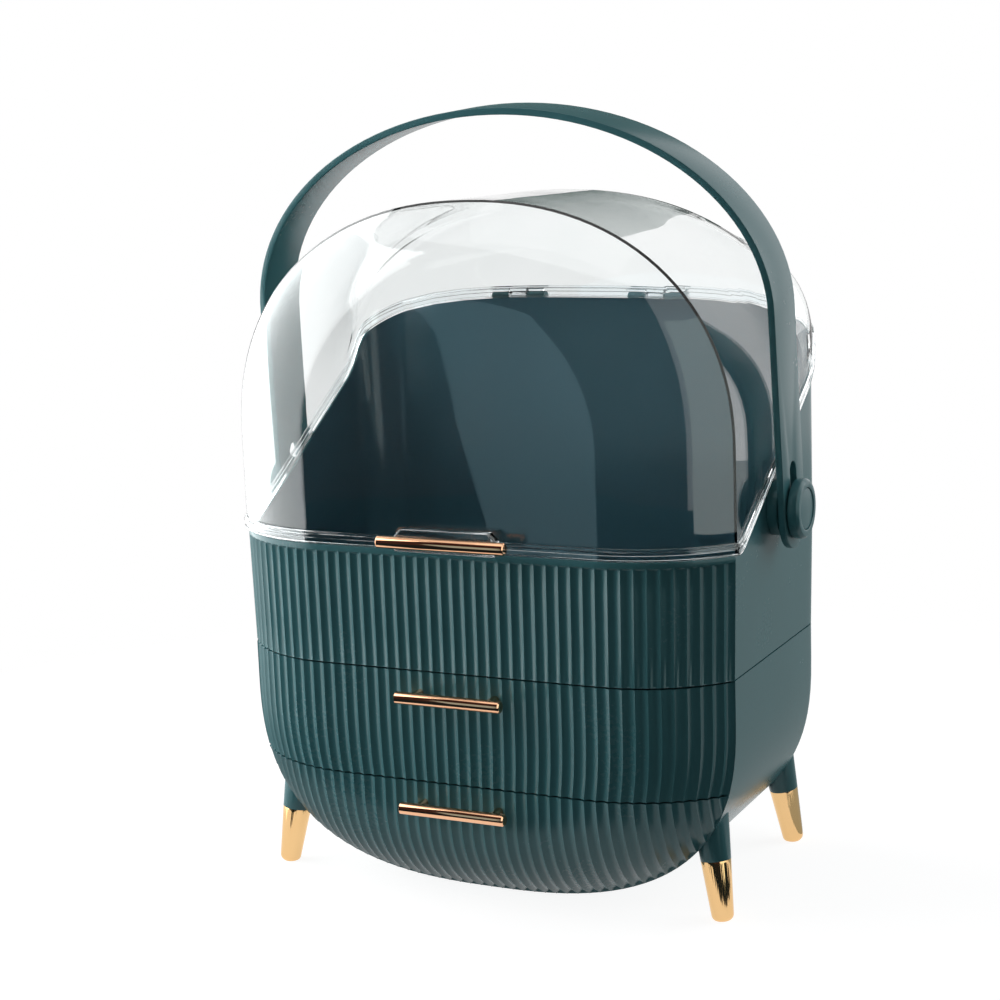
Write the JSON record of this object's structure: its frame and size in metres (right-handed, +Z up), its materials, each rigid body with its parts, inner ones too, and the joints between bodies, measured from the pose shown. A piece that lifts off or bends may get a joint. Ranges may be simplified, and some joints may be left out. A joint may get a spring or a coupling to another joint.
{
  "type": "makeup organizer",
  "caption": "Dustproof makeup organizer: a ribbed casing with pull-out drawers, a clear domed lid hinged at the back and a tall carrying handle that lowers on slots.",
  "frame": {"origin": "middle of the bounding box on the surface that the feet stand on", "axes": "+Z up, -Y to the fluted front with the drawer bars, +X to the right seen from the front"},
  "size_m": [0.3404, 0.2174, 0.4462],
  "materials": {
    "teal_plastic": "satin deep teal moulded plastic with fine upright flutes in front",
    "dark_plastic": "plain dark teal moulded plastic",
    "clear_plastic": "clear moulded plastic",
    "rose_gold": "polished rose gold",
    "steel": "plain steel"
  },
  "bodies": {
    "casing": {"upper_shell": "teal_plastic", "lower_housing": "teal_plastic", "drawer_shelf": "dark_plastic", "side_boss_left": "teal_plastic", "side_boss_right": "teal_plastic", "leg_front_left": "teal_plastic", "leg_front_right": "teal_plastic", "leg_rear_left": "teal_plastic", "leg_rear_right": "teal_plastic", "foot_front_left": "rose_gold", "foot_front_right": "rose_gold", "foot_rear_left": "rose_gold", "foot_rear_right": "rose_gold", "casing_hinge_leaves": "teal_plastic", "hinge_pins": "steel"},
    "upper_drawer": {"upper_drawer_front": "teal_plastic", "upper_drawer_tray": "dark_plastic", "upper_drawer_bar": "rose_gold", "upper_bar_screws": "steel"},
    "lower_drawer": {"lower_drawer_front": "teal_plastic", "lower_drawer_tray": "dark_plastic", "lower_drawer_bar": "rose_gold", "lower_bar_screws": "steel"},
    "lid": {"lid_shell": "clear_plastic", "lid_rim": "clear_plastic", "lid_bar_bracket": "clear_plastic", "lid_bar": "rose_gold", "lid_hinge_leaves": "clear_plastic"},
    "pivots": {"pivot_stud_left": "dark_plastic", "pivot_stud_right": "dark_plastic", "pivot_washer_left": "dark_plastic", "pivot_washer_right": "dark_plastic", "knob_left": "teal_plastic", "knob_right": "teal_plastic", "knob_cap_left": "teal_plastic", "knob_cap_right": "teal_plastic"},
    "handle": {"handle_strap": "teal_plastic"}
  },
  "joints": [
    {"name": "upper_drawer_slide", "type": "slide", "parent": "casing", "child": "upper_drawer", "axis": [0, -1, 0], "range_m": [0, 0.11]},
    {"name": "lower_drawer_slide", "type": "slide", "parent": "casing", "child": "lower_drawer", "axis": [0, -1, 0], "range_m": [0, 0.11]},
    {"name": "lid_hinge", "type": "hinge", "parent": "casing", "child": "lid", "pos_m": [0, 0.10475, 0.32718], "axis": [-1, 0, 0], "range_deg": [0, 110]},
    {"name": "handle_swing", "type": "hinge", "parent": "casing", "child": "pivots", "pos_m": [0, 0.00725, 0.2205], "axis": [-1, 0, 0], "range_deg": [0, 110]},
    {"name": "handle_lift", "type": "slide", "parent": "pivots", "child": "handle", "axis": [0, -0.0698, 0.9976], "range_m": [-0.021, 0]}
  ],
  "couplings": [
    {"joint": "handle_swing", "follows": "lid_hinge", "ratio": 1}
  ]
}
